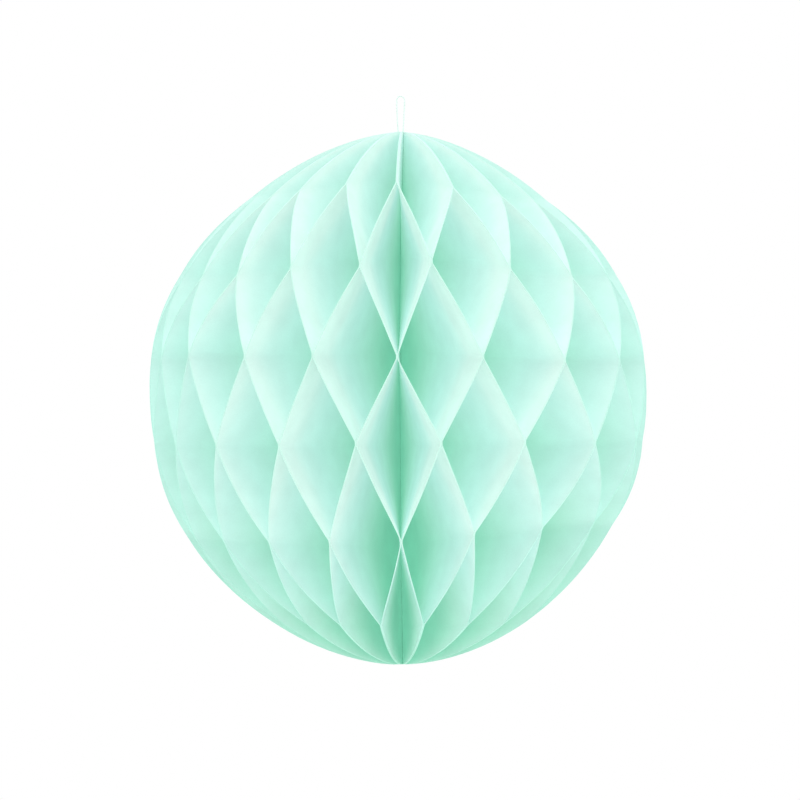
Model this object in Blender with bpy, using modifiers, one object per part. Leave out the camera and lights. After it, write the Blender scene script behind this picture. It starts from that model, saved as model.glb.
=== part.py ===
"""Honeycomb paper ball: half-round tissue sheets, glued along alternate lines and opened round their spine."""
import math

import bmesh
import bpy

# Driving dimensions, in metres. The ball hangs along Z and its front looks along -Y.
BALL_HEIGHT = 0.100          # height of the die-cut half-round, pole to pole
HALF_WIDTH = 0.0461          # its reach from the spine at the equator
RIM_FULLNESS = 2.45          # how full its rim is near the equator
RIM_ROUNDING = 0.61          # how round the rim comes in at the poles
CELLS_AROUND = 19            # cells in one row around the ball, two sheets each
FAN_UNEVEN = 0.15            # radians by which the ball is opened wider on its right side

PAPER_THICKNESS = 0.00015    # one tissue sheet
GLUE_GAP = 0.00015           # space that the glue film takes between two sheets
GLUE_WIDTH = 0.0016          # width of a glue line
GLUE_PITCH = 0.0334          # from one glue line to the next of the same family
GLUE_MIDDLE = 0.0069         # height of family A's middle line above the equator
GLUE_SHIFT = 0.0159          # how much lower family B lies than family A
GLUE_MARGIN = 0.006          # least distance from a glue line to a pole

SPINE_SLACK = 1.06           # spare room round the spine, as a factor on the packed sheets
SPINE_BEND = 0.005           # width beside the spine where the sheets turn into their fan
SPINE_FALL = 1.5             # how fast the packed directions give way to the fan outwards
SPINE_CLEARANCE = 0.00015    # between the binding and the bound edges
SPINE_SETBACK = 0.0006       # how far short of the sheets' ends the binding stops
THREAD_DEPTH = 0.014         # how far the thread reaches down into the binding
BORE_RADIUS = 0.0008         # channel that the thread lies in
POCKET_RADIUS = 0.00135      # wider end of the channel, where the knot sits
POCKET_DEPTH = 0.0015

COVER_THICKNESS = 0.0004     # card
TAPE_THICKNESS = 0.0001
TAPE_GAP = 0.00015           # adhesive on each face of a tape
TAPE_WIDTH = 0.012
TAPE_LENGTH = 0.024
TAPE_RADIUS = 0.030          # from the spine to the middle of a tape
TAPE_HEIGHT = 0.0165         # from the equator to the middle of a tape

THREAD_DIAMETER = 0.00035
STRAND_SPREAD = 0.0004       # from the axis to a strand inside the spine
LOOP_RISE = 0.0066           # from the top pole to the inside of the loop's crest
LOOP_HALF_WIDTH = 0.00075
KNOT_SCALE = 0.00033         # the overhand knot's lobes reach three times this
KNOT_SEAT = 0.00015          # from the knot to the shoulder and to the strands' ends

# How finely the surfaces are divided
SWING_POINTS = (1 / 3, 2 / 3)  # rows between two glue lines, as shares of the stretch
SWING_EASE = 0.5             # share of the swing that eases in and out at the glue lines
POLE_ROWS = 4                # rows from the last glue line to the pole
POLE_CROWDING = 1.6          # how much closer those rows come towards the pole
COVER_POINTS = 32
SPINE_SIDES = 24
KNOT_POINTS = 24
STRAND_POINTS = 6
ARCH_POINTS = 8
THREAD_BEVEL_STEPS = 2

# Worked out from the sizes above
HALF_HEIGHT = BALL_HEIGHT / 2
PAIR_REACH = (PAPER_THICKNESS + GLUE_GAP) / 2
COVER_OFFSET = TAPE_THICKNESS / 2 + TAPE_GAP + COVER_THICKNESS / 2
COVER_REACH = COVER_OFFSET + COVER_THICKNESS / 2 + GLUE_GAP + PAPER_THICKNESS / 2
PACKED_HALF = (2 * CELLS_AROUND - 1) * PAIR_REACH + COVER_REACH
INNER_RADIUS = SPINE_SLACK * PACKED_HALF / math.pi
SPINE_RADIUS = INNER_RADIUS - PAPER_THICKNESS - SPINE_CLEARANCE
CENTRE_HEIGHT = -(LOOP_RISE + HALF_HEIGHT)

MINT_TISSUE = (0.50, 0.86, 0.73, 1.0)
MINT_CARD = (0.44, 0.80, 0.66, 1.0)
DRIED_GLUE = (0.78, 0.84, 0.76, 1.0)
CLEAR_TAPE = (0.86, 0.89, 0.86, 1.0)
PALE_THREAD = (0.80, 0.93, 0.87, 1.0)


def make_material(name, colour, roughness):
    material = bpy.data.materials.new(name)
    material.use_nodes = True
    shader = material.node_tree.nodes["Principled BSDF"]
    shader.inputs["Base Color"].default_value = colour
    shader.inputs["Roughness"].default_value = roughness
    shader.inputs["Metallic"].default_value = 0.0
    return material


def add_piece(name, data, material, collection, centre):
    """Link one named piece, placed from the ball's centre."""
    piece = bpy.data.objects.new(name, data)
    data.materials.append(material)
    collection.objects.link(piece)
    piece.parent = centre
    return piece


def rim_radius(height):
    """Reach of the flat half-round at a height above its middle."""
    share = max(0.0, 1 - abs(height / HALF_HEIGHT) ** RIM_FULLNESS)
    return HALF_WIDTH * share ** RIM_ROUNDING


def sheet_end():
    """Height at which the rim comes in to one paper thickness from the bound edge."""
    share = ((INNER_RADIUS + PAPER_THICKNESS) / HALF_WIDTH) ** (1 / RIM_ROUNDING)
    return HALF_HEIGHT * (1 - share) ** (1 / RIM_FULLNESS)


def glue_lines():
    """Glue lines from bottom to top as (flat height, family), kept clear of the poles."""
    limit = sheet_end() - GLUE_MARGIN
    steps = math.ceil(HALF_HEIGHT / GLUE_PITCH) + 1
    lines = []
    for step in range(-steps, steps + 1):
        height = GLUE_MIDDLE + step * GLUE_PITCH
        lines.append((height, "A"))
        lines.append((height - GLUE_SHIFT, "B"))
    return sorted(line for line in lines if abs(line[0]) <= limit)


def eased(share):
    smooth = share * share * (3 - 2 * share)
    return (1 - SWING_EASE) * share + SWING_EASE * smooth


def pole_heights(edge, pole):
    """Heights from the last glue line's edge out to the pole, closer together towards the pole."""
    shares = [1 - (1 - step / POLE_ROWS) ** POLE_CROWDING for step in range(1, POLE_ROWS + 1)]
    return [edge + (pole - edge) * share for share in shares]


def sheet_rows():
    """Rows from bottom to top as (flat height, swing), the swing being 0 on family A and 1 on family B."""
    lines = glue_lines()
    half = GLUE_WIDTH / 2
    swing = {"A": 0.0, "B": 1.0}
    bottom, bottom_family = lines[0]
    top, top_family = lines[-1]
    rows = [(height, swing[bottom_family]) for height in pole_heights(bottom - half, -sheet_end())[::-1]]
    for index, (height, family) in enumerate(lines):
        rows.append((height - half, swing[family]))
        rows.append((height + half, swing[family]))
        if index + 1 == len(lines):
            break
        next_height, next_family = lines[index + 1]
        stretch = next_height - height - GLUE_WIDTH
        change = swing[next_family] - swing[family]
        for point in SWING_POINTS:
            rows.append((height + half + stretch * point, swing[family] + change * eased(point)))
    rows += [(height, swing[top_family]) for height in pole_heights(top + half, sheet_end())]
    return rows


def fan_direction(node):
    """Direction of a glued pair in the opened ball, turning from the front to the right."""
    turn = math.pi * node / CELLS_AROUND
    return turn + FAN_UNEVEN * (1 - math.cos(turn))


def packed_direction(node):
    """Direction of the same pair at the spine, where the sheets lie packed between the covers."""
    covers = fan_direction(CELLS_AROUND) - math.pi
    if abs(node) == CELLS_AROUND:
        return covers + math.copysign(math.pi, node)
    return covers + math.pi * 2 * PAIR_REACH * node / PACKED_HALF


def pair_direction(node, radius):
    packed = (INNER_RADIUS / radius) ** SPINE_FALL
    return (1 - packed) * fan_direction(node) + packed * packed_direction(node)


def reach_from(node):
    """From a pair's middle plane to the middle of a sheet; at the last node the covers lie between."""
    return COVER_REACH if abs(node) == CELLS_AROUND else PAIR_REACH


def swing_width(radius):
    """How far a sheet swings sideways at a radius, on the average around the ball."""
    return max(0.0, radius * math.pi / CELLS_AROUND - 2 * PAIR_REACH)


def opened_heights(rows, radius):
    """The rows' heights once the ball is open: each row keeps its length of paper while it swings."""
    heights = [0.0]
    for (low, low_swing), (high, high_swing) in zip(rows, rows[1:]):
        side = (high_swing - low_swing) * swing_width(radius)
        heights.append(heights[-1] + math.sqrt(max(0.0, (high - low) ** 2 - side ** 2)))
    for (low, _), (high, _), start, stop in zip(rows, rows[1:], heights, heights[1:]):
        if low <= 0.0 <= high:
            middle = start + (stop - start) * (0.0 - low) / (high - low)
    return [height - middle for height in heights]


def sheet_point(node, row, radius, height):
    """A point of the sheet that swings between this pair and the next one."""
    swing = row[1] if node % 2 == 0 else 1 - row[1]
    low = pair_direction(node, radius) + math.asin(reach_from(node) / radius)
    high = pair_direction(node + 1, radius) - math.asin(reach_from(node + 1) / radius)
    direction = low + (high - low) * swing
    return (radius * math.sin(direction), -radius * math.cos(direction), height)


def sheet_mesh(name, node, rows):
    """A flat grid carried to its opened place, row by row, from the bound edge to the rim."""
    columns = 3
    mesh = bmesh.new()
    bmesh.ops.create_grid(mesh, x_segments=columns - 1, y_segments=len(rows) - 1, size=1.0)
    for vertex in mesh.verts:
        column = round((vertex.co.x + 1) / 2 * (columns - 1))
        index = round((vertex.co.y + 1) / 2 * (len(rows) - 1))
        rim = max(rim_radius(rows[index][0]), INNER_RADIUS + PAPER_THICKNESS)
        bend = INNER_RADIUS + min(SPINE_BEND, (rim - INNER_RADIUS) / 2)
        radius = (INNER_RADIUS, bend, rim)[column]
        vertex.co = sheet_point(node, rows[index], radius, opened_heights(rows, radius)[index])
    data = bpy.data.meshes.new(name)
    mesh.to_mesh(data)
    mesh.free()
    return data


def add_sheets(collection, centre):
    """The tissue sheets, counted round the ball from the left cover by the front to the right cover."""
    tissue = make_material("mint tissue", MINT_TISSUE, 0.85)
    rows = sheet_rows()
    for count, node in enumerate(range(-CELLS_AROUND, CELLS_AROUND), start=1):
        name = f"tissue_sheet_{count:02d}"
        sheet = add_piece(name, sheet_mesh(name, node, rows), tissue, collection, centre)
        paper = sheet.modifiers.new("paper", "SOLIDIFY")
        paper.thickness = PAPER_THICKNESS
        paper.offset = 0.0


def set_on_cover_plane(piece, offset, radius=0.0, height=0.0):
    """Turn a flat piece into the plane where the covers meet; a positive offset is the left cover's side."""
    direction = fan_direction(CELLS_AROUND)
    outward = (math.sin(direction), -math.cos(direction))
    sideways = (math.cos(direction), math.sin(direction))
    piece.location = (
        outward[0] * radius + sideways[0] * offset,
        outward[1] * radius + sideways[1] * offset,
        height,
    )
    piece.rotation_euler = (math.pi / 2, 0.0, direction - math.pi / 2)


def cover_outline(name):
    """The covers' outline: the same half-round as the sheets, cut back to the binding."""
    inner = SPINE_RADIUS + SPINE_CLEARANCE
    end = sheet_end()
    points = [(inner, end), (inner, -end)]
    for step in range(COVER_POINTS + 1):
        height = -end * math.cos(math.pi * step / COVER_POINTS)
        points.append((rim_radius(height), height))
    outline = bpy.data.curves.new(name, "CURVE")
    outline.dimensions = "2D"
    outline.fill_mode = "BOTH"
    outline.extrude = COVER_THICKNESS / 2
    spline = outline.splines.new("POLY")
    spline.points.add(len(points) - 1)
    for point, (x, y) in zip(spline.points, points):
        point.co = (x, y, 0.0, 1.0)
    spline.use_cyclic_u = True
    return outline


def add_covers(collection, centre):
    card = make_material("mint card", MINT_CARD, 0.7)
    tape = make_material("clear tape", CLEAR_TAPE, 0.35)
    for name, side in (("cover_left", 1), ("cover_right", -1)):
        cover = add_piece(name, cover_outline(name), card, collection, centre)
        set_on_cover_plane(cover, side * COVER_OFFSET)
    for name, side in (("joining_tape_upper", 1), ("joining_tape_lower", -1)):
        mesh = bmesh.new()
        bmesh.ops.create_cube(mesh, size=1.0)
        bmesh.ops.scale(mesh, vec=(TAPE_WIDTH, TAPE_LENGTH, TAPE_THICKNESS), verts=mesh.verts)
        data = bpy.data.meshes.new(name)
        mesh.to_mesh(data)
        mesh.free()
        strip = add_piece(name, data, tape, collection, centre)
        set_on_cover_plane(strip, 0.0, radius=TAPE_RADIUS, height=side * TAPE_HEIGHT)


def add_binding(collection, centre):
    """The glued core between the bound edges, set around the lower end of the thread and its knot."""
    top = sheet_end() - SPINE_SETBACK
    shoulder = top - THREAD_DEPTH
    floor = shoulder - POCKET_DEPTH
    profile = [
        (0.0, floor),
        (POCKET_RADIUS, floor),
        (POCKET_RADIUS, shoulder),
        (BORE_RADIUS, shoulder),
        (BORE_RADIUS, top),
        (SPINE_RADIUS, top),
        (SPINE_RADIUS, -top),
        (0.0, -top),
    ]
    data = bpy.data.meshes.new("spine_binding")
    edges = [(index, index + 1) for index in range(len(profile) - 1)]
    data.from_pydata([(x, 0.0, z) for x, z in profile], edges, [])
    glue = make_material("dried glue", DRIED_GLUE, 0.45)
    binding = add_piece("spine_binding", data, glue, collection, centre)
    turned = binding.modifiers.new("turned", "SCREW")
    turned.angle = 2 * math.pi
    turned.steps = SPINE_SIDES
    turned.render_steps = SPINE_SIDES
    turned.use_merge_vertices = True
    turned.merge_threshold = 0.00001
    return shoulder


def tube(name, points, closed):
    """A round thread along the given points."""
    curve = bpy.data.curves.new(name, "CURVE")
    curve.dimensions = "3D"
    curve.bevel_depth = THREAD_DIAMETER / 2
    curve.bevel_resolution = THREAD_BEVEL_STEPS
    curve.use_fill_caps = not closed
    spline = curve.splines.new("POLY")
    spline.points.add(len(points) - 1)
    for point, place in zip(spline.points, points):
        point.co = (*place, 1.0)
    spline.use_cyclic_u = closed
    return curve


def thread_route(low_end):
    """Up one side of the channel, round the loop above the pole and down the other side."""
    leave = sheet_end()
    arch = HALF_HEIGHT + LOOP_RISE + THREAD_DIAMETER / 2 - LOOP_HALF_WIDTH
    side = [(STRAND_SPREAD, low_end)]
    for step in range(STRAND_POINTS + 1):
        share = step / STRAND_POINTS
        spread = STRAND_SPREAD + (LOOP_HALF_WIDTH - STRAND_SPREAD) * share * share * (3 - 2 * share)
        side.append((spread, leave + (arch - leave) * share))
    crest = []
    for step in range(1, ARCH_POINTS):
        turn = math.pi * step / ARCH_POINTS
        crest.append((-LOOP_HALF_WIDTH * math.cos(turn), arch + LOOP_HALF_WIDTH * math.sin(turn)))
    left = [(-x, z) for x, z in side]
    return [(x, 0.0, z) for x, z in left + crest + side[::-1]]


def knot_route(middle):
    """An overhand knot drawn up tight, its tails trimmed."""
    points = []
    for step in range(KNOT_POINTS):
        turn = 2 * math.pi * step / KNOT_POINTS
        reach = KNOT_SCALE * (2 + math.cos(3 * turn))
        x = reach * math.cos(2 * turn)
        y = reach * math.sin(2 * turn)
        points.append((x, y, middle + KNOT_SCALE * math.sin(3 * turn)))
    return points


def add_thread(collection, centre, shoulder):
    thread = make_material("pale thread", PALE_THREAD, 0.7)
    knot_top = shoulder - KNOT_SEAT
    knot_middle = knot_top - KNOT_SCALE - THREAD_DIAMETER / 2
    route = thread_route(knot_top + KNOT_SEAT)
    add_piece("hanging_thread", tube("hanging_thread", route, False), thread, collection, centre)
    add_piece("thread_knot", tube("thread_knot", knot_route(knot_middle), True), thread, collection, centre)


def build():
    for old in list(bpy.context.scene.objects):
        bpy.data.objects.remove(old, do_unlink=True)
    collection = bpy.data.collections.new("honeycomb_paper_ball")
    bpy.context.scene.collection.children.link(collection)
    centre = bpy.data.objects.new("ball_centre", None)
    centre.location = (0.0, 0.0, CENTRE_HEIGHT)
    collection.objects.link(centre)
    add_sheets(collection, centre)
    add_covers(collection, centre)
    shoulder = add_binding(collection, centre)
    add_thread(collection, centre, shoulder)


build()
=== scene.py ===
import math
import random

import bmesh
import bpy
import numpy as np
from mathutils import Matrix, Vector


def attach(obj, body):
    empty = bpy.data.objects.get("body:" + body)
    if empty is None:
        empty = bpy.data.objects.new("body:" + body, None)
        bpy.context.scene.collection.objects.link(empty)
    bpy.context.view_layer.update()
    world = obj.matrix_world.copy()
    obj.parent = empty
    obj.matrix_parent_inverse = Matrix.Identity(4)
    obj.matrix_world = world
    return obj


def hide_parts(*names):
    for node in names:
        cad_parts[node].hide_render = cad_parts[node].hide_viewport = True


# Honeycomb paper ball, dressed over its CAD frame. Metres throughout; the ball hangs along Z and
# its front looks along -Y. A "turn" is an angle round the spine, from the front to the right.

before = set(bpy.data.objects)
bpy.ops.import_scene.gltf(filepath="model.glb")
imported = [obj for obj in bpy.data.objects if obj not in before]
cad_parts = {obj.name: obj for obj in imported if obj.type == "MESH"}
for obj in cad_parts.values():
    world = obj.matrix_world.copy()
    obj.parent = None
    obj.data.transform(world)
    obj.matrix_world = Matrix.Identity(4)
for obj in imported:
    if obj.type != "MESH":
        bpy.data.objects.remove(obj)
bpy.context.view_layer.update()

ball = {
    "middle": -0.0566,         # height of the ball's middle below the hanging point
    "halfHeight": 0.050,
    "halfWidth": 0.0466,
    "rimFullness": 2.45,       # the two powers of the outline between its poles
    "rimRounding": 0.61,
    "cells": 19,               # cells in one row round the ball, two sheets each
    "unevenFan": 0.15,         # opened a little wider on its right side
    "boundRadius": 0.0013,     # where the bound edges lie round the core
    "boundFall": 1.5,          # power by which the sheets part from there outwards
    "boundSpare": 3.4,         # room that the covers take between the bound sheets, in sheets
    "bow": -0.0005,            # how far the middle hangs beside the line between the poles
    "lean": -0.0002,           # and how much further above it than below
}

camera = {
    "lens": 154.4,
    "sensor": 36.0,
    "distance": 0.645,
    "sideways": -0.00013,      # where it stands beside and below the ball's middle
    "below": 0.00036,
    "nearest": 0.01,
    "farthest": 20.0,
}


def placeCamera():
    print("camera")
    data = bpy.data.cameras.new("photoView")
    data.lens = camera["lens"]
    data.sensor_width = camera["sensor"]
    data.clip_start = camera["nearest"]
    data.clip_end = camera["farthest"]
    eye = bpy.data.objects.new("photoView", data)
    eye.location = (camera["sideways"], -camera["distance"], ball["middle"] - camera["below"])
    eye.rotation_euler = (math.pi / 2, 0.0, 0.0)
    bpy.context.scene.collection.objects.link(eye)
    bpy.context.scene.camera = eye


# Small helpers for meshes

def newPiece(name, data):
    piece = bpy.data.objects.new(name, data)
    bpy.context.scene.collection.objects.link(piece)
    return piece


# Turn the evaluated piece into a plain mesh without modifiers
def makePlain(piece):
    graph = bpy.context.evaluated_depsgraph_get()
    mesh = bpy.data.meshes.new_from_object(
        piece.evaluated_get(graph), preserve_all_data_layers=True, depsgraph=graph)
    piece.modifiers.clear()
    piece.data = mesh
    mesh.name = piece.name
    return piece


# From the ball's own middle to the hanging frame, with the ball's slight bow and lean between its poles
def hang(piece):
    mesh = piece.data
    for vertex in mesh.vertices:
        vertex.co.z += ball["middle"]
    points = np.empty(len(mesh.vertices) * 3)
    mesh.vertices.foreach_get("co", points)
    points = points.reshape(-1, 3)
    share = np.clip((points[:, 2] - ball["middle"]) / ball["halfHeight"], -1.0, 1.0)
    points[:, 0] += (1 - share ** 2) * (ball["bow"] + ball["lean"] * share)
    mesh.vertices.foreach_set("co", points.ravel())
    mesh.update()


def finishPiece(piece, sharpAngle):
    makePlain(piece)
    hang(piece)
    piece.data.shade_smooth()
    piece.data.set_sharp_from_angle(angle=math.radians(sharpAngle))


def rimRadius(height):
    share = np.clip(1 - np.abs(height / ball["halfHeight"]) ** ball["rimFullness"], 0.0, 1.0)
    return ball["halfWidth"] * share ** ball["rimRounding"]


# Shader node groups

def link(tree, fromSocket, toSocket):
    tree.links.new(fromSocket, toSocket)


def addNode(tree, kind, at, **values):
    node = tree.nodes.new(kind)
    node.location = at
    for key, value in values.items():
        setattr(node, key, value)
    return node


def mathNode(tree, operation, at, first, second=None, third=None, clamp=False):
    node = addNode(tree, "ShaderNodeMath", at, operation=operation, use_clamp=clamp)
    for socket, value in zip(node.inputs, (first, second, third)):
        if isinstance(value, (int, float)):
            socket.default_value = value
        elif value is not None:
            link(tree, value, socket)
    return node.outputs[0]


fibreLook = {
    "cloudDetail": 3.0,
    "cloudShare": 0.6,
    "fibreDetail": 4.0,
    "fibreRoughness": 0.7,
    "fibreShare": 0.4,
    "stretch": (1.0, 1.0, 0.25),    # fibres are longer along the place's Z
    "contrast": 3.0,
    "darkening": 1.0,
    "creaseDepth": 0.12,
    "fibreDepth": 0.06,
}


# Cloudy fibre of thin paper: a tone from 0 to 1 and a height for bump
def paperGroup():
    tree = bpy.data.node_groups.new("paperFibre", "ShaderNodeTree")
    face = tree.interface
    face.new_socket(name="Place", in_out="INPUT", socket_type="NodeSocketVector")
    for name in ("Cloud Scale", "Fibre Scale", "Crease Scale"):
        face.new_socket(name=name, in_out="INPUT", socket_type="NodeSocketFloat")
    face.new_socket(name="Tone", in_out="OUTPUT", socket_type="NodeSocketFloat")
    face.new_socket(name="Height", in_out="OUTPUT", socket_type="NodeSocketFloat")
    ins = addNode(tree, "NodeGroupInput", (-900, 0))
    outs = addNode(tree, "NodeGroupOutput", (500, 0))
    cloud = addNode(tree, "ShaderNodeTexNoise", (-600, 250))
    cloud.inputs["Detail"].default_value = fibreLook["cloudDetail"]
    stretch = addNode(tree, "ShaderNodeMapping", (-750, -50))
    stretch.inputs["Scale"].default_value = fibreLook["stretch"]
    fibre = addNode(tree, "ShaderNodeTexNoise", (-550, -50))
    fibre.inputs["Detail"].default_value = fibreLook["fibreDetail"]
    fibre.inputs["Roughness"].default_value = fibreLook["fibreRoughness"]
    crease = addNode(tree, "ShaderNodeTexVoronoi", (-550, -350), feature="DISTANCE_TO_EDGE")
    for node, name in ((cloud, "Cloud Scale"), (fibre, "Fibre Scale"), (crease, "Crease Scale")):
        link(tree, ins.outputs[name], node.inputs["Scale"])
    link(tree, ins.outputs["Place"], cloud.inputs["Vector"])
    link(tree, ins.outputs["Place"], stretch.inputs["Vector"])
    link(tree, stretch.outputs[0], fibre.inputs["Vector"])
    link(tree, ins.outputs["Place"], crease.inputs["Vector"])
    soft = mathNode(tree, "MULTIPLY", (-300, 250), cloud.outputs["Fac"], fibreLook["cloudShare"])
    fine = mathNode(tree, "MULTIPLY", (-300, 50), fibre.outputs["Fac"], fibreLook["fibreShare"])
    mixed = mathNode(tree, "ADD", (-100, 150), soft, fine)
    tone = mathNode(tree, "MULTIPLY_ADD", (100, 150), mixed, fibreLook["contrast"],
                    -fibreLook["darkening"], clamp=True)
    fold = mathNode(tree, "MINIMUM", (-300, -350), crease.outputs["Distance"], fibreLook["creaseDepth"])
    rough = mathNode(tree, "MULTIPLY", (-300, -150), fibre.outputs["Fac"], fibreLook["fibreDepth"])
    height = mathNode(tree, "ADD", (-100, -250), fold, rough)
    link(tree, tone, outs.inputs["Tone"])
    link(tree, height, outs.inputs["Height"])
    return tree


def placePaper(tree, group, at, place, look):
    node = addNode(tree, "ShaderNodeGroup", at, node_tree=group)
    link(tree, place, node.inputs["Place"])
    for name, key in (("Cloud Scale", "clouds"), ("Fibre Scale", "fibres"), ("Crease Scale", "creases")):
        node.inputs[name].default_value = look[key]
    return node


def startMaterial(name, look):
    material = bpy.data.materials.new(name)
    material.use_nodes = True
    tree = material.node_tree
    shader = tree.nodes["Principled BSDF"]
    shader.inputs["Roughness"].default_value = look["roughness"]
    shader.inputs["Specular IOR Level"].default_value = look["specular"]
    return material, tree, shader


# Colour between two given ones by a share that changes over the surface
def colourMix(tree, at, share, low, high):
    node = addNode(tree, "ShaderNodeMix", at, data_type="RGBA")
    link(tree, share, node.inputs["Factor"])
    for socket, value in ((node.inputs[6], low), (node.inputs[7], high)):
        if isinstance(value, tuple):
            socket.default_value = (*value, 1.0)
        else:
            link(tree, value, socket)
    return node.outputs[2]


def bumpFrom(tree, at, height, look):
    bump = addNode(tree, "ShaderNodeBump", at)
    bump.inputs["Strength"].default_value = look["bumpStrength"]
    bump.inputs["Distance"].default_value = look["bumpDistance"]
    link(tree, height, bump.inputs["Height"])
    return bump.outputs["Normal"]


tissue = {
    # colour by depth behind the rim, in half widths of the ball: painted shade that deepens the colour
    # inside the cells, with a slightly paler painted band of light just behind the rim
    "colourWithPaintedShade": ((0.0, (0.765, 0.965, 0.90)), (0.10, (0.785, 0.965, 0.91)), (0.20, (0.79, 0.958, 0.91)),
            (0.30, (0.725, 0.94, 0.89)), (0.42, (0.68, 0.923, 0.865)), (0.56, (0.635, 0.90, 0.82)),
            (0.70, (0.57, 0.865, 0.755)), (0.82, (0.49, 0.825, 0.69)), (0.95, (0.425, 0.79, 0.645))),
    "poleShadePainted": 0.4,            # painted shade: how much deeper the colour is painted beside the spine where the ball is narrow
    "lowShadePainted": 0.82,            # painted shade: and how much deeper towards the lower pole
    "lowPower": 2.4,           # power by which that sets in on the way down
    "lowAside": 0.8,           # share of it that is missing at the ball's sides
    "sideShadePainted": 0.41,           # painted shade: how much deeper the colour is painted at the ball's sides
    "sideFall": 0.4,           # share by which that is less at the upper pole and more at the lower
    "sideSqueeze": 0.75,       # how much faster it deepens inwards at the sides
    "cloudy": 0.07,            # how much darker the thicker places of the paper are
    "cutEdge": (0.86, 0.985, 0.94),    # share of each colour left on the cut edge
    "cutNarrow": 16.0,         # power that keeps this to the edge itself
    "through": 0.15,           # share of the light that the thin paper lets through
    "roughness": 0.8,
    "specular": 0.12,
    "clouds": 2.2,             # scales of the paper's pattern, per centimetre
    "fibres": 26.0,
    "creases": 1.1,
    "bumpStrength": 0.12,
    "bumpDistance": 0.00006,
}


def tissueMaterial(fibre):
    material, tree, shader = startMaterial("mintTissue", tissue)
    place = addNode(tree, "ShaderNodeUVMap", (-1100, 0), uv_map="flat")
    paper = placePaper(tree, fibre, (-900, 0), place.outputs["UV"], tissue)
    # painted shade: the ramp paints the paper deeper by the stored shade depth, and a little paler just
    # behind the rim
    depth = addNode(tree, "ShaderNodeAttribute", (-900, 350), attribute_name="paintedShadeDepth")
    colourWithPaintedShade = addNode(tree, "ShaderNodeValToRGB", (-700, 350))
    stops = colourWithPaintedShade.color_ramp.elements
    while len(stops) < len(tissue["colourWithPaintedShade"]):
        stops.new(0.5)
    for stop, (at, shade) in zip(stops, tissue["colourWithPaintedShade"]):
        stop.position = at
        stop.color = (*shade, 1.0)
    link(tree, depth.outputs["Fac"], colourWithPaintedShade.inputs["Fac"])
    cloudy = mathNode(tree, "MULTIPLY", (-550, 100), paper.outputs["Tone"], tissue["cloudy"])
    kept = mathNode(tree, "SUBTRACT", (-420, 150), 1.0, cloudy)
    tone = addNode(tree, "ShaderNodeVectorMath", (-280, 250), operation="SCALE")
    link(tree, colourWithPaintedShade.outputs["Color"], tone.inputs[0])
    link(tree, kept, tone.inputs["Scale"])
    rim = addNode(tree, "ShaderNodeAttribute", (-700, -150), attribute_name="rim")
    cut = mathNode(tree, "POWER", (-420, -50), rim.outputs["Fac"], tissue["cutNarrow"])
    tint = colourMix(tree, (-280, 0), cut, (1.0, 1.0, 1.0), tissue["cutEdge"])
    tinted = addNode(tree, "ShaderNodeVectorMath", (-120, 150), operation="MULTIPLY")
    link(tree, tone.outputs[0], tinted.inputs[0])
    link(tree, tint, tinted.inputs[1])
    colour = tinted.outputs[0]
    normal = bumpFrom(tree, (-300, -350), paper.outputs["Height"], tissue)
    link(tree, colour, shader.inputs["Base Color"])
    link(tree, normal, shader.inputs["Normal"])
    glow = addNode(tree, "ShaderNodeBsdfTranslucent", (0, -450))
    link(tree, colour, glow.inputs["Color"])
    link(tree, normal, glow.inputs["Normal"])
    both = addNode(tree, "ShaderNodeMixShader", (350, 0))
    both.inputs["Fac"].default_value = tissue["through"]
    link(tree, shader.outputs[0], both.inputs[1])
    link(tree, glow.outputs[0], both.inputs[2])
    link(tree, both.outputs[0], tree.nodes["Material Output"].inputs["Surface"])
    return material


card = {
    "pale": (0.55, 0.90, 0.76),
    "deep": (0.48, 0.86, 0.71),
    "roughness": 0.62,
    "specular": 0.3,
    "clouds": 180.0,           # scales of its pattern, per metre as in the finishes below
    "fibres": 1600.0,
    "creases": 90.0,
    "bumpStrength": 0.15,
    "bumpDistance": 0.00005,
}

core = {
    "pale": (0.42, 0.76, 0.61),
    "deep": (0.36, 0.70, 0.54),
    "roughness": 0.42,
    "specular": 0.45,
    "clouds": 500.0,
    "fibres": 1200.0,
    "creases": 260.0,
    "bumpStrength": 0.5,
    "bumpDistance": 0.00006,
}

tapeFilm = {
    "pale": (0.88, 0.92, 0.88),
    "deep": (0.78, 0.86, 0.80),
    "roughness": 0.3,
    "specular": 0.5,
    "clouds": 150.0,
    "fibres": 700.0,
    "creases": 60.0,
    "bumpStrength": 0.2,
    "bumpDistance": 0.00003,
}

yarn = {
    "pale": (0.86, 0.97, 0.93),
    "deep": (0.82, 0.95, 0.90),
    "roughness": 0.75,
    "specular": 0.2,
    "clouds": 900.0,
    "fibres": 6000.0,
    "creases": 2500.0,
    "bumpStrength": 0.5,
    "bumpDistance": 0.00003,
}


# A finish of one colour with its fibre or film texture, on object coordinates
def solidMaterial(name, look, fibre):
    material, tree, shader = startMaterial(name, look)
    place = addNode(tree, "ShaderNodeTexCoord", (-1100, 0))
    paper = placePaper(tree, fibre, (-900, 0), place.outputs["Object"], look)
    colour = colourMix(tree, (-450, 100), paper.outputs["Tone"], look["deep"], look["pale"])
    link(tree, colour, shader.inputs["Base Color"])
    normal = bumpFrom(tree, (-300, -300), paper.outputs["Height"], look)
    link(tree, normal, shader.inputs["Normal"])
    return material


# Tissue sheets

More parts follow.
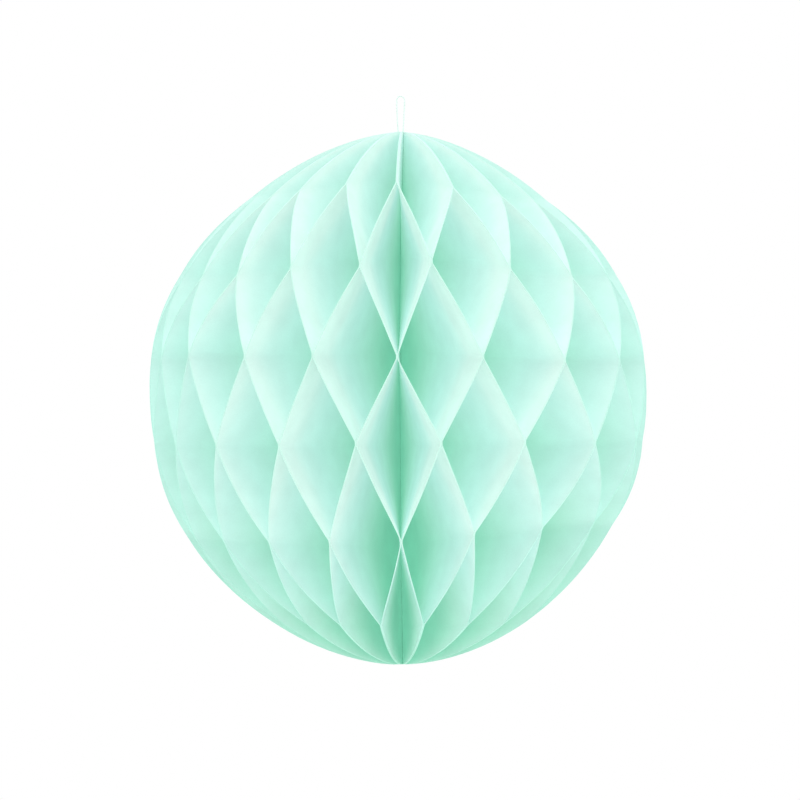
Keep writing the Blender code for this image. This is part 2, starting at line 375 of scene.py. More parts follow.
sheets = {
    "thickness": 0.00016,
    "glueGap": 0.00005,
    "glueWidth": 0.0007,
    # flat heights of the glue lines above the equator, with their family
    "lines": ((-0.0424, "B"), (-0.0271, "A"), (-0.0090, "B"), (0.0081, "A"), (0.0256, "B"), (0.0402, "A")),
    # how each line hangs once open: how much it rises to the right, falls towards both sides and
    # turns outwards there
    "slant": (0.0, 0.0026, 0.0007, -0.0006, 0.0, -0.0010),
    "fall": (0.0030, -0.0010, 0.0002, 0.0, 0.0035, 0.0045),
    "spread": (0.0, 0.0, 0.0, 0.0, 0.0, 0.08),
    "twist": -0.2,             # radians by which a metre of height turns the lines
    # pairs in front that hang a little off their places: line and node, then turn and rise
    "handled": {
        (5, 0): (-0.015, 0.0006),
        (5, -2): (0.0, 0.0006),
        (5, -4): (-0.04, 0.0),
        (4, 1): (-0.02, 0.0009),
        (3, 2): (-0.01, 0.0),
        (3, -6): (-0.03, 0.0),
        (2, 3): (-0.013, 0.0),
        (1, 0): (-0.001, -0.0003),
        (1, 6): (0.04, 0.0005),
        (0, -1): (0.0, -0.0006),
    },
    "rowsBetween": 15,
    "rowsToPole": 12,
    "columns": 20,
    "poleReach": 1.35,         # where the sheets end at the poles, in radii of their bound edge
    "leastReach": 1.3,         # and how narrow they become there
    "rowCrowding": 1.7,        # powers that crowd the rows at the poles and the columns at the rim
    "columnCrowding": 0.85,
    "easeAtRim": 0.04,         # share of the swing that eases in and out at a glue line
    "easeAtCore": 0.5,
    "patternScale": 100.0,     # the paper's own layout is in centimetres
    "crumple": 0.00022,
    "crumpleScale": 1.3,
    "crumpleDetail": 2.0,
    "ragged": 0.00010,
    "raggedScale": 5.0,
    "raggedDetail": 3.0,
    "raggedNarrow": 12.0,      # power that keeps the fray to the rim
    "coverGap": 0.00072,       # from the covers' plane to the first and last sheet
    "jitterTurn": 0.006,
    "jitterRise": 0.0003,
    "seed": 11,
    "seedStep": 3.7,
    "sharpAngle": 50,
}


def fanTurn(node):
    turn = math.pi * node / ball["cells"]
    return turn + ball["unevenFan"] * (1 - math.cos(turn))


def pairReach():
    return (sheets["thickness"] + sheets["glueGap"]) / 2


# The bound edges lie evenly round the core, on both sides of where the covers meet
def boundTurn(node):
    seam = fanTurn(ball["cells"]) - math.pi
    return seam + math.pi * node / (ball["cells"] + ball["boundSpare"])


# Flat rows from bottom to top: height, lower and upper glue line, and share of the way
def sheetRows():
    half = sheets["glueWidth"] / 2
    lines = sheets["lines"]
    endWidth = sheets["poleReach"] * ball["boundRadius"] / ball["halfWidth"]
    pole = ball["halfHeight"] * (1 - endWidth ** (1 / ball["rimRounding"])) ** (1 / ball["rimFullness"])
    count = sheets["rowsToPole"]
    shares = [1 - (1 - step / count) ** sheets["rowCrowding"] for step in range(1, count + 1)]
    bottom = lines[0][0] - half
    top = lines[-1][0] + half
    rows = [(bottom + (-pole - bottom) * share, 0, 0, 0.0) for share in shares[::-1]]
    for index, (height, _) in enumerate(lines):
        rows.append((height - half, index, index, 0.0))
        rows.append((height, index, index, 0.0))
        rows.append((height + half, index, index, 0.0))
        if index + 1 < len(lines):
            nextHeight = lines[index + 1][0]
            stretch = nextHeight - height - 2 * half
            for step in range(1, sheets["rowsBetween"] + 1):
                share = step / (sheets["rowsBetween"] + 1)
                rows.append((height + half + stretch * share, index, index + 1, share))
    last = len(lines) - 1
    rows += [(top + (pole - top) * share, last, last, 0.0) for share in shares]
    return rows


# Share of the way between two glue lines. Beyond the end of the shorter line the paper is free, and
# its folds run as a fan from that end.
def ruledShare(share, radius, below, above):
    ends = rimRadius(np.array([height for height, _ in sheets["lines"]]))
    heldBelow = np.minimum(1.0, ends[below] / radius)
    heldAbove = np.minimum(1.0, ends[above] / radius)
    ruled = np.where(ends[above] < ends[below], share * heldAbove, 1 - (1 - share) * heldBelow)
    ruled = np.where(below == above, share, ruled)
    way = np.clip(radius / ball["halfWidth"], 0.0, 1.0)
    ease = sheets["easeAtCore"] + (sheets["easeAtRim"] - sheets["easeAtCore"]) * way
    return ruled * (1 - ease) + ease * ruled * ruled * (3 - 2 * ruled)


# One sheet laid out at radius X and opened height Z, carrying what the tree needs to turn it
def makeTemplate():
    rows = sheetRows()
    flat = np.array([row[0] for row in rows])
    below = np.array([row[1] for row in rows])
    above = np.array([row[2] for row in rows])
    share = np.array([row[3] for row in rows])
    swingOf = np.array([0.0 if family == "A" else 1.0 for _, family in sheets["lines"]])
    columns = sheets["columns"]
    across = np.linspace(0.0, 1.0, columns) ** sheets["columnCrowding"]
    inner = ball["boundRadius"]
    rim = np.maximum(rimRadius(flat), inner * sheets["leastReach"])
    radius = inner + (rim[:, None] - inner) * across[None, :]
    eased = ruledShare(share[:, None], radius, below[:, None], above[:, None])
    swing = swingOf[below][:, None] * (1 - eased) + swingOf[above][:, None] * eased
    # each row keeps its length of paper while it swings sideways, so the ball grows shorter outwards
    width = np.maximum(0.0, radius * math.pi / ball["cells"] - 2 * pairReach())
    height = np.empty_like(radius)
    drop = np.diff(flat)
    for i in range(radius.shape[0]):
        for j in range(columns):
            here = ruledShare(share, radius[i, j], below, above)
            swung = swingOf[below] * (1 - here) + swingOf[above] * here
            steps = np.sqrt(np.maximum(drop ** 2 - (np.diff(swung) * width[i, j]) ** 2, 0.0))
            total = np.concatenate(([0.0], np.cumsum(steps)))
            height[i, j] = total[i] - np.interp(0.0, flat, total)
    # painted shade: depth behind the rim, more beside the spine where the ball is narrow, and more towards
    # the lower pole; the tree deepens the tissue's colour by these
    lowness = np.clip(-height / ball["halfHeight"], 0.0, 1.0) ** tissue["lowPower"]
    narrow = 1 - rim[:, None] / ball["halfWidth"]
    paintedShadeDepth = ((rim[:, None] - radius) / ball["halfWidth"]
              + tissue["poleShadePainted"] * narrow * (1 - radius / rim[:, None]))
    points = np.stack([radius, np.zeros_like(radius), height], axis=-1).reshape(-1, 3)
    faces = []
    for i in range(len(rows) - 1):
        for j in range(columns - 1):
            a = i * columns + j
            faces.append((a, a + 1, a + columns + 1, a + columns))
    mesh = bpy.data.meshes.new("flatSheet")
    mesh.from_pydata(points.tolist(), [], faces)
    for name, kind, values in (
            ("below", "INT", np.repeat(below, columns)),
            ("above", "INT", np.repeat(above, columns)),
            ("share", "FLOAT", eased.ravel()),
            ("swing", "FLOAT", swing.ravel()),
            ("reach", "FLOAT", np.tile(across, len(rows))),
            ("rim", "FLOAT", np.tile(np.where(across < 1.0, 0.0, 1.0), len(rows))),
            ("paintedShadeDepth", "FLOAT", paintedShadeDepth.ravel()),
            ("lowShadeDepth", "FLOAT", (tissue["lowShadePainted"] * lowness).ravel())):
        mesh.attributes.new(name, kind, "POINT").data.foreach_set("value", values)
    layout = mesh.uv_layers.new(name="flat")
    corner = np.empty(len(mesh.loops), dtype=np.int32)
    mesh.loops.foreach_get("vertex_index", corner)
    place = np.stack([radius.ravel(), np.repeat(flat, columns)], axis=-1) * sheets["patternScale"]
    layout.data.foreach_set("uv", place[corner].ravel())
    return mesh


# Turns each point of the flat sheet round the spine, between the glue lines' own turns
def openSheetTree():
    tree = bpy.data.node_groups.new("openSheet", "GeometryNodeTree")
    face = tree.interface
    face.new_socket(name="Geometry", in_out="OUTPUT", socket_type="NodeSocketGeometry")
    face.new_socket(name="Geometry", in_out="INPUT", socket_type="NodeSocketGeometry")
    count = len(sheets["lines"])
    names = [f"Turn {index}" for index in range(count)] + [f"Rise {index}" for index in range(count)]
    names += ["Bound Turn A", "Bound Turn B", "Clear A", "Clear B", "Bound Radius", "Bound Fall", "Crumple",
              "Crumple Scale", "Ragged", "Ragged Scale", "Seed", "Half Width", "Low Aside", "Side Shade Painted",
              "Side Fall", "Side Squeeze"]
    for name in names:
        face.new_socket(name=name, in_out="INPUT", socket_type="NodeSocketFloat")
    face.new_socket(name="Tissue", in_out="INPUT", socket_type="NodeSocketMaterial")
    ins = addNode(tree, "NodeGroupInput", (-1600, 0))
    outs = addNode(tree, "NodeGroupOutput", (1400, 0))

    def attribute(name, kind, at):
        node = addNode(tree, "GeometryNodeInputNamedAttribute", at, data_type=kind)
        node.inputs["Name"].default_value = name
        return node.outputs["Attribute"]

    def pick(prefix, index, at):
        node = addNode(tree, "GeometryNodeIndexSwitch", at, data_type="FLOAT")
        while len(node.index_switch_items) < count:
            node.index_switch_items.new()
        link(tree, index, node.inputs["Index"])
        for number in range(count):
            link(tree, ins.outputs[f"{prefix} {number}"], node.inputs[number + 1])
        return node.outputs[0]

    def between(low, high, share, at):
        node = addNode(tree, "ShaderNodeMix", at, data_type="FLOAT")
        for index, value in ((0, share), (2, low), (3, high)):
            link(tree, value, node.inputs[index])
        return node.outputs[0]

    def noiseOn(vector, scale, detail, at):
        node = addNode(tree, "ShaderNodeTexNoise", at, noise_dimensions="4D")
        node.inputs["Detail"].default_value = detail
        for value, name in ((vector, "Vector"), (ins.outputs["Seed"], "W"), (ins.outputs[scale], "Scale")):
            link(tree, value, node.inputs[name])
        return mathNode(tree, "SUBTRACT", (at[0] + 200, at[1]), node.outputs[0], 0.5)

    place = addNode(tree, "GeometryNodeInputPosition", (-1400, 500))
    split = addNode(tree, "ShaderNodeSeparateXYZ", (-1200, 500))
    link(tree, place.outputs[0], split.inputs[0])
    radius = split.outputs["X"]
    below = attribute("below", "INT", (-1400, 300))
    above = attribute("above", "INT", (-1400, 150))
    share = attribute("share", "FLOAT", (-1400, 0))
    swing = attribute("swing", "FLOAT", (-1400, -150))
    reach = attribute("reach", "FLOAT", (-1400, -300))
    lowTurn, highTurn = pick("Turn", below, (-1100, 300)), pick("Turn", above, (-1100, 100))
    lowRise, highRise = pick("Rise", below, (-1100, -100)), pick("Rise", above, (-1100, -300))
    turn = between(lowTurn, highTurn, share, (-900, 200))
    rise = between(lowRise, highRise, share, (-900, -200))
    bound = between(ins.outputs["Bound Turn A"], ins.outputs["Bound Turn B"], swing, (-900, -500))
    clear = between(ins.outputs["Clear A"], ins.outputs["Clear B"], swing, (-900, -700))
    near = mathNode(tree, "DIVIDE", (-900, 500), ins.outputs["Bound Radius"], radius)
    packed = mathNode(tree, "POWER", (-700, 500), near, ins.outputs["Bound Fall"])
    opened = between(turn, bound, packed, (-500, 300))
    apart = mathNode(tree, "DIVIDE", (-700, -600), clear, radius)

    # soft crumples between the glue lines, from the middle of the sheet outwards
    flatPlace = addNode(tree, "ShaderNodeCombineXYZ", (-900, -950))
    link(tree, radius, flatPlace.inputs["X"])
    link(tree, split.outputs["Z"], flatPlace.inputs["Z"])
    layout = addNode(tree, "ShaderNodeVectorMath", (-700, -950), operation="SCALE")
    layout.inputs["Scale"].default_value = sheets["patternScale"]
    link(tree, flatPlace.outputs[0], layout.inputs[0])
    wave = noiseOn(layout.outputs[0], "Crumple Scale", sheets["crumpleDetail"], (-500, -950))
    rest = mathNode(tree, "SUBTRACT", (-300, -700), 1.0, share)
    free = mathNode(tree, "MULTIPLY", (-100, -700), share, rest)
    freer = mathNode(tree, "MULTIPLY", (100, -700), free, 4.0)    # reaches 1 halfway between two lines
    outer = mathNode(tree, "MULTIPLY", (100, -850), freer, reach)
    amount = mathNode(tree, "MULTIPLY", (100, -1000), wave, ins.outputs["Crumple"])
    crumple = mathNode(tree, "MULTIPLY", (300, -900), amount, outer)
    crumpleTurn = mathNode(tree, "DIVIDE", (450, -900), crumple, radius)
    withGap = mathNode(tree, "ADD", (-300, 200), opened, apart)
    direction = mathNode(tree, "ADD", (-100, 200), withGap, crumpleTurn)

    # a die-cut rim that is never quite true
    fray = noiseOn(layout.outputs[0], "Ragged Scale", sheets["raggedDetail"], (-500, -1250))
    frayed = mathNode(tree, "MULTIPLY", (-100, -1250), fray, ins.outputs["Ragged"])
    atRim = mathNode(tree, "POWER", (-100, -1400), reach, sheets["raggedNarrow"])
    cut = mathNode(tree, "MULTIPLY", (100, -1250), frayed, atRim)
    length = mathNode(tree, "ADD", (300, -1250), radius, cut)

    sine = mathNode(tree, "SINE", (100, 300), direction)
    cosine = mathNode(tree, "COSINE", (100, 150), direction)
    x = mathNode(tree, "MULTIPLY", (300, 300), sine, length)
    y = mathNode(tree, "MULTIPLY", (300, 150), cosine, length)
    back = mathNode(tree, "MULTIPLY", (450, 150), y, -1.0)
    far = mathNode(tree, "DIVIDE", (100, -100), radius, ins.outputs["Half Width"])
    lift = mathNode(tree, "MULTIPLY", (300, -100), rise, far)
    z = mathNode(tree, "ADD", (450, -100), split.outputs["Z"], lift)
    spot = addNode(tree, "ShaderNodeCombineXYZ", (650, 150))
    for value, name in ((x, "X"), (back, "Y"), (z, "Z")):
        link(tree, value, spot.inputs[name])

    # painted shade: the colour is painted deeper towards the ball's sides and the lower pole as well
    aside = mathNode(tree, "MULTIPLY", (100, 700), sine, sine)
    fading = mathNode(tree, "MULTIPLY", (-300, 850), split.outputs["Z"], ins.outputs["Side Fall"])
    lowerSides = mathNode(tree, "SUBTRACT", (-100, 850), 1.0, fading)
    sided = mathNode(tree, "MULTIPLY", (100, 850), aside, lowerSides)
    sideShare = mathNode(tree, "MULTIPLY", (300, 700), sided, ins.outputs["Side Shade Painted"])
    faster = mathNode(tree, "MULTIPLY", (300, 850), aside, ins.outputs["Side Squeeze"])
    scaled = mathNode(tree, "ADD", (450, 850), faster, 1.0)
    inwards = mathNode(tree, "MULTIPLY", (600, 850), attribute("paintedShadeDepth", "FLOAT", (100, 1000)), scaled)
    aslant = mathNode(tree, "ADD", (600, 700), inwards, sideShare)
    lessened = mathNode(tree, "MULTIPLY", (100, 550), aside, ins.outputs["Low Aside"])
    facing = mathNode(tree, "SUBTRACT", (300, 550), 1.0, lessened)
    sunken = mathNode(tree, "MULTIPLY", (450, 550), facing, attribute("lowShadeDepth", "FLOAT", (300, 400)))
    deeper = mathNode(tree, "ADD", (600, 550), aslant, sunken)
    shadeStored = addNode(tree, "GeometryNodeStoreNamedAttribute", (650, 600), data_type="FLOAT",
                   domain="POINT")
    shadeStored.inputs["Name"].default_value = "paintedShadeDepth"
    link(tree, ins.outputs["Geometry"], shadeStored.inputs["Geometry"])
    link(tree, deeper, shadeStored.inputs["Value"])
    move = addNode(tree, "GeometryNodeSetPosition", (850, 0))
    link(tree, shadeStored.outputs[0], move.inputs["Geometry"])
    link(tree, spot.outputs[0], move.inputs["Position"])
    real = addNode(tree, "GeometryNodeRealizeInstances", (1020, 0))
    link(tree, move.outputs[0], real.inputs[0])
    paint = addNode(tree, "GeometryNodeSetMaterial", (1200, 0))
    link(tree, real.outputs[0], paint.inputs["Geometry"])
    link(tree, ins.outputs["Tissue"], paint.inputs["Material"])
    link(tree, paint.outputs[0], outs.inputs[0])
    return tree


def setInputs(modifier, tree, values):
    for item in tree.interface.items_tree:
        if item.item_type == "SOCKET" and item.in_out == "INPUT" and item.name in values:
            modifier[item.identifier] = values[item.name]


# Turn and rise of every glued pair on every line, with the small unevenness of hand work
def pairPlaces():
    draw = random.Random(sheets["seed"])
    places = {}
    for line, (height, family) in enumerate(sheets["lines"]):
        for node in range(-ball["cells"], ball["cells"] + 1):
            jitter = (draw.uniform(-1, 1), draw.uniform(-1, 1))
            if (node % 2 == 0) != (family == "A"):
                continue
            turn = fanTurn(node)
            side = math.sin(turn)
            facing = math.sqrt(max(0.0, math.cos(turn)))
            rise = facing * (sheets["slant"][line] * side - sheets["fall"][line] * side * side)
            if abs(node) < ball["cells"]:
                free = math.cos(turn / 2) ** 2
                turn += free * (sheets["twist"] * height + sheets["spread"][line] * side)
                shift = sheets["handled"].get((line, node), (0.0, 0.0))
                turn += jitter[0] * sheets["jitterTurn"] + shift[0]
                rise += jitter[1] * sheets["jitterRise"] + shift[1]
            places[line, node] = (turn, rise)
    return places


def clearance(node):
    return sheets["coverGap"] if abs(node) == ball["cells"] else pairReach()


def makeSheets(material):
    print("tissue sheets")
    template = makeTemplate()
    tree = openSheetTree()
    places = pairPlaces()
    made = []
    for count, node in enumerate(range(-ball["cells"], ball["cells"]), start=1):
        sheet = newPiece(f"tissue_leaf_{count:02d}", template)
        even = node % 2 == 0
        side = 1.0 if even else -1.0
        familyA, familyB = (node, node + 1) if even else (node + 1, node)
        values = {
            "Bound Turn A": boundTurn(familyA),
            "Bound Turn B": boundTurn(familyB),
            "Clear A": side * clearance(familyA),
            "Clear B": -side * clearance(familyB),
            "Bound Radius": ball["boundRadius"],
            "Bound Fall": ball["boundFall"],
            "Crumple": sheets["crumple"],
            "Crumple Scale": sheets["crumpleScale"],
            "Ragged": sheets["ragged"],
            "Ragged Scale": sheets["raggedScale"],
            "Seed": sheets["seedStep"] * count,
            "Half Width": ball["halfWidth"],
            "Low Aside": tissue["lowAside"],
            "Side Shade Painted": tissue["sideShadePainted"],
            "Side Fall": tissue["sideFall"] / ball["halfHeight"],
            "Side Squeeze": tissue["sideSqueeze"],
            "Tissue": material,
        }
        for line, (_, family) in enumerate(sheets["lines"]):
            turn, rise = places[line, familyA if family == "A" else familyB]
            values[f"Turn {line}"] = turn
            values[f"Rise {line}"] = rise
        fold = sheet.modifiers.new("openSheet", "NODES")
        fold.node_group = tree
        setInputs(fold, tree, values)
        paper = sheet.modifiers.new("paper", "SOLIDIFY")
        paper.thickness = sheets["thickness"]
        paper.offset = 0.0
        finishPiece(sheet, sheets["sharpAngle"])
        made.append(sheet)
    return made


# Covers and their tape

covers = {
    "thickness": 0.0004,
    "offset": 0.0004,
    "points": 96,
    "inner": 0.0014,
    "leastWidth": 0.0002,
    "heightShare": 0.999,      # how far they reach towards the poles
    "bevel": 0.00008,
}

tape = {
    "width": 0.012,
    "length": 0.024,
    "thickness": 0.0001,
    "radius": 0.030,
    "height": 0.0165,
    "rounding": 0.0006,
    "cornerSteps": 4,
    "bevel": 0.00002,
}

board = {
    "bevelSegments": 2,
    "bevelAngle": 40,
    "sharpAngle": 35,
}


# From (outwards, up, sideways) to the plane where the covers meet; sideways is the left cover's side
def onCoverPlane(points):
    turn = fanTurn(ball["cells"])
    placed = []
    for outward, up, sideways in points:
        x = outward * math.sin(turn) + sideways * math.cos(turn)
        y = -outward * math.cos(turn) + sideways * math.sin(turn)
        placed.append((x, y, up))
    return placed


# A flat outline made into a thin board on the covers' plane. Across a laddered one each point is joined
# to its partner from the outline's other end, so that the board can follow the ball's bow.
def slab(name, outline, thickness, offset, bevel, material, laddered=False):
    mesh = bmesh.new()
    ring = [mesh.verts.new((x, z, offset - thickness / 2)) for x, z in outline]
    if laddered:
        base = [mesh.faces.new((ring[i], ring[i + 1], ring[-i - 2], ring[-i - 1]))
                for i in range(len(ring) // 2 - 1)]
    else:
        base = [mesh.faces.new(ring)]
    grown = bmesh.ops.extrude_face_region(mesh, geom=base)
    lifted = [item for item in grown["geom"] if isinstance(item, bmesh.types.BMVert)]
    bmesh.ops.translate(mesh, vec=(0, 0, thickness), verts=lifted)
    for vertex, place in zip(list(mesh.verts), onCoverPlane([tuple(v.co) for v in mesh.verts])):
        vertex.co = place
    bmesh.ops.recalc_face_normals(mesh, faces=mesh.faces)
    data = bpy.data.meshes.new(name)
    mesh.to_mesh(data)
    mesh.free()
    piece = newPiece(name, data)
    data.materials.append(material)
    soften = piece.modifiers.new("edges", "BEVEL")
    soften.width = bevel
    soften.segments = board["bevelSegments"]
    soften.limit_method = "ANGLE"
    soften.angle_limit = math.radians(board["bevelAngle"])
    finishPiece(piece, board["sharpAngle"])
    return piece


def makeCovers(cardLook, filmLook):
    print("covers and tape")
    tall = ball["halfHeight"] * covers["heightShare"]
    heights = [tall * math.sin(math.pi * (step / covers["points"] - 0.5))
               for step in range(covers["points"] + 1)]
    least = covers["inner"] + covers["leastWidth"]
    outline = [(max(float(rimRadius(z)), least), z) for z in heights]
    outline += [(covers["inner"], z) for z in reversed(heights)]
    made = []
    for name, node, side in (("card_cover_left", "cover_left", 1),
                             ("card_cover_right", "cover_right", -1)):
        piece = slab(name, outline, covers["thickness"], side * covers["offset"], covers["bevel"],
                     cardLook, laddered=True)
        made.append((piece, node, "card"))
    for name, node, side in (("tape_strip_upper", "joining_tape_upper", 1),
                             ("tape_strip_lower", "joining_tape_lower", -1)):
        corner = tape["rounding"]
        points = []
        for cornerX, cornerZ, start in ((1, 1, 0), (-1, 1, 90), (-1, -1, 180), (1, -1, 270)):
            heartX = tape["radius"] + cornerX * (tape["width"] / 2 - corner)
            heartZ = side * tape["height"] + cornerZ * (tape["length"] / 2 - corner)
            for step in range(tape["cornerSteps"] + 1):
                angle = math.radians(start + 90 * step / tape["cornerSteps"])
                points.append((heartX + corner * math.cos(angle), heartZ + corner * math.sin(angle)))
        piece = slab(name, points, tape["thickness"], 0.0, tape["bevel"], filmLook)
        made.append((piece, node, "tape"))
    return made


# Bound core and thread

binding = {
    "radius": 0.00118,
    "bore": 0.00064,
    "pocket": 0.00106,
    "pocketDepth": 0.0015,
    "threadDepth": 0.014,
    "end": 0.0494,
    "rings": 60,
    "sides": 28,
    "beads": ((0.00003, 37), (0.00002, 91)),    # height and pace of the waves that dried in the glue
    "mergeReach": 0.00001,
    "sharpAngle": 40,
}

thread = {
    "diameter": 0.00035,
    "plyRadius": 0.000095,
    "plyReach": 0.00008,       # from the thread's middle to the middle of a ply
    "plySides": 7,
    "pitch": 0.0011,
    "stepLength": 0.00012,
    "spread": 0.0004,          # half the room between the strands inside the core
    "halfWidth": 0.00075,      # and in the loop
    "spreadPower": 0.6,
    "sheetEnd": 0.04968,
    "rise": 0.0066,
    "strandPoints": 6,
    "archPoints": 8,
    "knotSeat": 0.00015,
    "knotScale": 0.00026,
    "knotPoints": 90,
}


def makeCore(material):
    print("bound core")
    top = binding["end"]
    shoulder = top - binding["threadDepth"]
    floor = shoulder - binding["pocketDepth"]
    profile = [(0.0, floor), (binding["pocket"], floor), (binding["pocket"], shoulder),
               (binding["bore"], shoulder), (binding["bore"], top), (binding["radius"], top)]
    for step in range(1, binding["rings"]):
        share = step / binding["rings"]
        bead = sum(height * math.sin(pace * share) for height, pace in binding["beads"])
        profile.append((binding["radius"] + bead, top - 2 * top * share))
    profile += [(binding["radius"], -top), (0.0, -top)]
    data = bpy.data.meshes.new("glue_core")
    data.from_pydata([(x, 0.0, z) for x, z in profile],
                     [(index, index + 1) for index in range(len(profile) - 1)], [])
    piece = newPiece("glue_core", data)
    turned = piece.modifiers.new("turned", "SCREW")
    turned.angle = 2 * math.pi
    turned.steps = binding["sides"]
    turned.render_steps = binding["sides"]
    turned.use_merge_vertices = True
    turned.merge_threshold = binding["mergeReach"]
    finishPiece(piece, binding["sharpAngle"])
    piece.data.materials.clear()
    piece.data.materials.append(material)
    return piece, shoulder


# Up one side of the channel, round the loop above the pole and down the other side
def threadRoute(lowEnd):
    leave = thread["sheetEnd"]
    arch = ball["halfHeight"] + thread["rise"] + thread["diameter"] / 2 - thread["halfWidth"]
    side = [(thread["spread"], lowEnd)]
    for step in range(thread["strandPoints"] + 1):
        share = step / thread["strandPoints"]
        parted = (thread["halfWidth"] - thread["spread"]) * share ** thread["spreadPower"]
        side.append((thread["spread"] + parted, leave + (arch - leave) * share))
    crest = []
    for step in range(1, thread["archPoints"]):
        turn = math.pi * step / thread["archPoints"]
        crest.append((-thread["halfWidth"] * math.cos(turn),
                      arch + thread["halfWidth"] * math.sin(turn)))
    left = [(-x, z) for x, z in side]
    return [Vector((x, 0.0, z + ball["middle"])) for x, z in left + crest + side[::-1]]


# Two plies laid round each other along a route
def twisted(name, route, closed, material):
    sides = thread["plySides"]
    points = [p.copy() for p in route]
    if closed:
        points.append(points[0].copy())
    line = [points[0]]
    for a, b in zip(points, points[1:]):
        steps = max(1, round((b - a).length / thread["stepLength"]))
        line += [a.lerp(b, k / steps) for k in range(1, steps + 1)]
    if closed:
        line.pop()
    count = len(line)
    tangents = []
    for k in range(count):
        ahead = line[(k + 1) % count] if closed else line[min(k + 1, count - 1)]
        behind = line[(k - 1) % count] if closed else line[max(k - 1, 0)]
        tangents.append((ahead - behind).normalized())
    normal = tangents[0].orthogonal().normalized()
    frames = []
    for tangent in tangents:
        normal = (normal - tangent * normal.dot(tangent)).normalized()
        frames.append((normal.copy(), tangent.cross(normal)))
    travelled = [0.0]
    for a, b in zip(line, line[1:]):
        travelled.append(travelled[-1] + (b - a).length)
    mesh = bmesh.new()
    for ply in range(2):
        rings = []
        for k in range(count):
            first, second = frames[k]
            phase = 2 * math.pi * travelled[k] / thread["pitch"] + math.pi * ply
            heart = line[k] + (first * math.cos(phase) + second * math.sin(phase)) * thread["plyReach"]
            ring = []
            for side in range(sides):
                angle = 2 * math.pi * side / sides
                away = (first * math.cos(angle) + second * math.sin(angle)) * thread["plyRadius"]
                ring.append(mesh.verts.new(heart + away))
            rings.append(ring)
        spans = zip(rings, rings[1:] + rings[:1]) if closed else zip(rings, rings[1:])
        for low, high in spans:
            for side in range(sides):
                other = (side + 1) % sides
                mesh.faces.new((low[side], low[other], high[other], high[side]))
        if not closed:
            mesh.faces.new(rings[0][::-1])
            mesh.faces.new(rings[-1])
    bmesh.ops.recalc_face_normals(mesh, faces=mesh.faces)
    data = bpy.data.meshes.new(name)
    mesh.to_mesh(data)
    mesh.free()
    data.materials.append(material)
    data.shade_smooth()
    return newPiece(name, data)


# The thread, and the trefoil knot that holds it below the core's shoulder
def makeThread(material, shoulder):
    print("thread and knot")
    route = threadRoute(shoulder)
    strand = twisted("twisted_thread", route, False, material)
    scale = thread["knotScale"]
    middle = shoulder - thread["knotSeat"] - scale - thread["diameter"] / 2 + ball["middle"]
    loops = []
    for step in range(thread["knotPoints"]):
        turn = 2 * math.pi * step / thread["knotPoints"]
        reach = scale * (2 + math.cos(3 * turn))
        loops.append(Vector((reach * math.cos(2 * turn), reach * math.sin(2 * turn),
                             middle + scale * math.sin(3 * turn))))
    knot = twisted("tied_knot", loops, True, material)
    return strand, knot, route


# Floor, light and world

paleFloor = {
    "below": 0.25,
    "radius": 0.9,
    "sides": 96,
    "dark": (0.84, 0.84, 0.84),
    "pale": (0.88, 0.88, 0.88),
    "specks": 40.0,
    "roughness": 0.9,
    "specular": 0.1,
}

studio = {
    "skyTop": 1.55,            # strength of the light from straight above and below
    "skyLow": 0.62,
    "skyFront": 0.18,          # share by which it is weaker from the camera's side and stronger behind
    "skySide": 0.04,           # and stronger from the right than from the middle
    "keyPower": 0.4,
    "keyPlace": (-0.12, -0.35, 0.85),
    "keySize": 0.6,
    "fillPower": 0.2,
    "fillPlace": (0.5, -0.8, 0.0),
    "fillSize": 0.9,
    "bounces": 12,
    "skyAfter": 2,             # bounces after which the sky itself lights the paper
    "skyReach": 0.00005,       # unless something stands nearer than this
    "skyShare": 1.0,
}


def makeFloor():
    print("floor, light and world")
    mesh = bmesh.new()
    bmesh.ops.create_circle(mesh, cap_ends=True, segments=paleFloor["sides"],
                            radius=paleFloor["radius"])
    data = bpy.data.meshes.new("paleFloor")
    mesh.to_mesh(data)
    mesh.free()
    floor = newPiece("paleFloor", data)
    floor.location = (0.0, 0.0, ball["middle"] - paleFloor["below"])
    material, tree, shader = startMaterial("paleFloor", paleFloor)
    place = addNode(tree, "ShaderNodeTexCoord", (-900, 0))
    speck = addNode(tree, "ShaderNodeTexNoise", (-700, 0))
    speck.inputs["Scale"].default_value = paleFloor["specks"]
    link(tree, place.outputs["Object"], speck.inputs["Vector"])
    shade = colourMix(tree, (-400, 0), speck.outputs["Fac"], paleFloor["dark"], paleFloor["pale"])
    link(tree, shade, shader.inputs["Base Color"])
    data.materials.append(material)


def areaLight(name, power, size, at, target):
    data = bpy.data.lights.new(name, "AREA")
    data.energy = power
    data.shape = "DISK"
    data.size = size
    lamp = bpy.data.objects.new(name, data)
    lamp.location = at
    aim = Vector(target) - Vector(at)
    lamp.rotation_euler = aim.to_track_quat("-Z", "Y").to_euler()
    lamp.visible_camera = False
    bpy.context.scene.collection.objects.link(lamp)


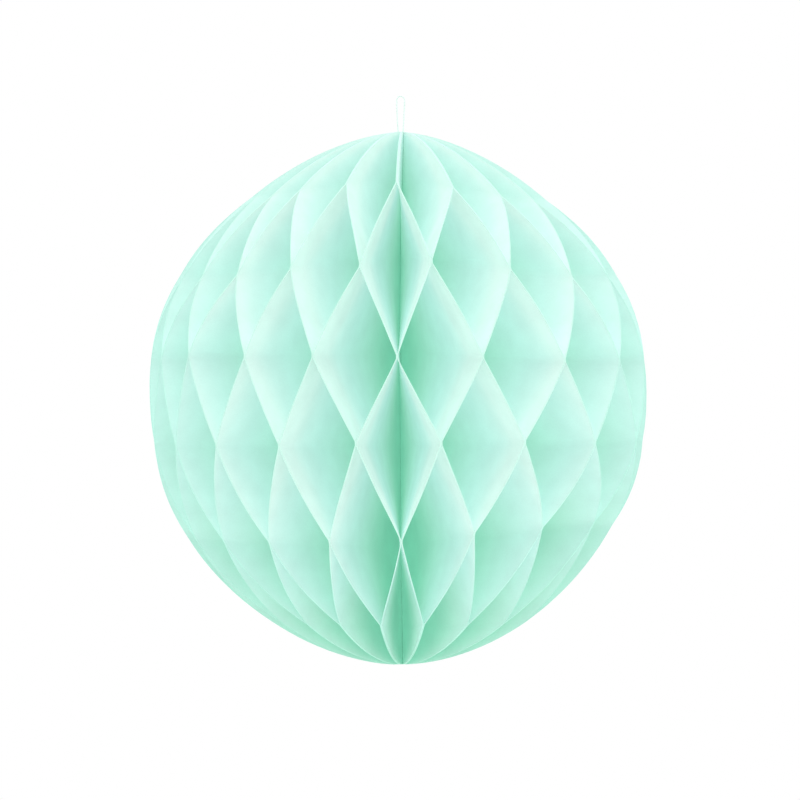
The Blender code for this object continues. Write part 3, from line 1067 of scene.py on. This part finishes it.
def makeLight():
    middle = (0.0, 0.0, ball["middle"])
    areaLight("keyLight", studio["keyPower"], studio["keySize"], studio["keyPlace"], middle)
    areaLight("fillLight", studio["fillPower"], studio["fillSize"], studio["fillPlace"], middle)
    world = bpy.data.worlds.new("studio")
    world.use_nodes = True
    tree = world.node_tree
    tree.nodes.clear()
    place = addNode(tree, "ShaderNodeTexCoord", (-900, 0))
    split = addNode(tree, "ShaderNodeSeparateXYZ", (-700, 0))
    link(tree, place.outputs["Generated"], split.inputs[0])
    ramp = addNode(tree, "ShaderNodeMapRange", (-500, 0))
    ramp.inputs["From Min"].default_value = -1.0
    ramp.inputs["To Min"].default_value = studio["skyLow"]
    ramp.inputs["To Max"].default_value = studio["skyTop"]
    link(tree, split.outputs["Z"], ramp.inputs["Value"])
    frontal = mathNode(tree, "MULTIPLY_ADD", (-500, -300), split.outputs["Y"], studio["skyFront"], 1.0)
    sideways = mathNode(tree, "MULTIPLY_ADD", (-500, -450), split.outputs["X"], studio["skySide"], frontal)
    strength = mathNode(tree, "MULTIPLY", (-350, -100), ramp.outputs[0], sideways)
    soft = addNode(tree, "ShaderNodeBackground", (-250, 0))
    white = addNode(tree, "ShaderNodeBackground", (-250, -200))
    for sky in (soft, white):
        sky.inputs["Color"].default_value = (1.0, 1.0, 1.0, 1.0)
    link(tree, strength, soft.inputs["Strength"])
    ray = addNode(tree, "ShaderNodeLightPath", (-500, 300))
    seen = ray.outputs["Is Camera Ray"]
    for at, kind in ((-250, "Is Glossy Ray"), (-100, "Is Transmission Ray")):
        seen = mathNode(tree, "MAXIMUM", (at, 300), seen, ray.outputs[kind])
    both = addNode(tree, "ShaderNodeMixShader", (0, 0))
    link(tree, seen, both.inputs["Fac"])
    link(tree, soft.outputs[0], both.inputs[1])
    link(tree, white.outputs[0], both.inputs[2])
    out = addNode(tree, "ShaderNodeOutputWorld", (200, 0))
    link(tree, both.outputs[0], out.inputs["Surface"])
    world.cycles.sampling_method = "NONE"
    bpy.context.scene.world = world
    world.light_settings.distance = studio["skyReach"]
    world.light_settings.ao_factor = studio["skyShare"]
    cycles = bpy.context.scene.cycles
    cycles.max_bounces = studio["bounces"]
    cycles.diffuse_bounces = studio["bounces"]
    cycles.transmission_bounces = studio["bounces"]
    cycles.use_fast_gi = True
    cycles.fast_gi_method = "REPLACE"
    cycles.ao_bounces_render = studio["skyAfter"]
    bpy.context.scene.view_settings.view_transform = "Standard"


placeCamera()
fibre = paperGroup()
tissueLook = tissueMaterial(fibre)
cardLook = solidMaterial("mintCard", card, fibre)
glueLook = solidMaterial("driedGlue", core, fibre)
filmLook = solidMaterial("clearFilm", tapeFilm, fibre)
threadLook = solidMaterial("spunThread", yarn, fibre)

for number, sheet in enumerate(makeSheets(tissueLook), start=1):
    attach(sheet, "root")
    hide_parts(f"tissue_sheet_{number:02d}")

for piece, node, slotName in makeCovers(cardLook, filmLook):
    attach(piece, "root")
    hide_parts(node)

glueCore, shoulder = makeCore(glueLook)
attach(glueCore, "root")
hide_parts("spine_binding")

strand, knot, route = makeThread(threadLook, shoulder)
for piece, node in ((strand, "hanging_thread"), (knot, "thread_knot")):
    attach(piece, "root")
    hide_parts(node)

makeFloor()
makeLight()
